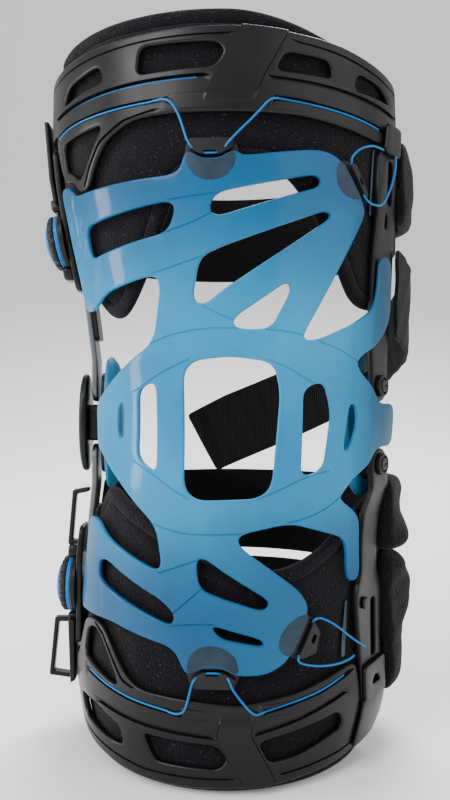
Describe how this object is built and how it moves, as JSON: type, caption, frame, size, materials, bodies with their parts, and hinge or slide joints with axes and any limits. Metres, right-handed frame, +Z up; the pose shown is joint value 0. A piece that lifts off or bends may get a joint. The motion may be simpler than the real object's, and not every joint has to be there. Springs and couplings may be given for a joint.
{
  "type": "hinged knee brace",
  "caption": "Osteoarthritis knee brace: open moulded cuffs on padded liners, side hinges, an elastic web laced over the kneecap, tightening dials and straps behind the leg.",
  "frame": {"origin": "middle of the footprint, on the surface that the lower rim stands on", "axes": "+Z up the leg, -Y the front of the knee, +X the side with the open hinge"},
  "size_m": [0.2254, 0.1822, 0.4],
  "materials": {
    "cloth": "dense padded knit, matt",
    "frame": "satin moulded nylon",
    "steel": "brushed",
    "web": "translucent soft elastomer",
    "lace": "braided cord",
    "lug": "satin",
    "strap": "woven and looped webbing",
    "pad": "soft matt foam"
  },
  "bodies": {
    "shin": {"shin_liner": "cloth", "shin_shell": "frame", "lug_bottom": "lug", "lug_lower_right": "lug", "lace_bottom": "lace", "lace_lower_right": "lace", "lace_lower_side": "lace", "left_shin_bar": "steel", "left_shin_arm": "frame", "right_shin_arm": "frame", "right_lower_screw": "steel", "lower_dial_base": "frame", "lower_dial_knob": "frame", "shin_bracket": "frame", "upper_ring": "frame", "lower_ring": "frame", "calf_upper_strap": "strap", "calf_lower_strap": "strap"},
    "hinge_links": {"left_link": "frame", "right_link": "frame", "left_hinge_cover": "frame", "left_condyle_pad": "pad", "right_condyle_pad": "pad", "web": "web"},
    "thigh": {"thigh_liner": "cloth", "thigh_shell": "frame", "lug_top": "lug", "lug_upper_right": "lug", "lace_top": "lace", "lace_upper_right": "lace", "lace_upper_side": "lace", "left_thigh_bar": "steel", "left_thigh_arm": "frame", "right_thigh_arm": "frame", "right_upper_screw": "steel", "upper_dial_base": "frame", "upper_dial_knob": "frame", "thigh_bracket": "frame", "thigh_strap": "strap", "knee_strap": "strap"}
  },
  "joints": [
    {"name": "lower_pivot", "type": "hinge", "parent": "shin", "child": "hinge_links", "pos_m": [0.00288, -0.02133, 0.165], "axis": [-0.9686, 0.2487, 0], "range_deg": [0, 45], "deforming": ["web", "knee_strap"]},
    {"name": "upper_pivot", "type": "hinge", "parent": "hinge_links", "child": "thigh", "pos_m": [0.00288, -0.02133, 0.209], "axis": [-0.9686, 0.2487, 0], "range_deg": [0, 45], "deforming": ["web", "knee_strap"]}
  ],
  "couplings": [
    {"joint": "lower_pivot", "follows": "upper_pivot", "ratio": 1}
  ]
}
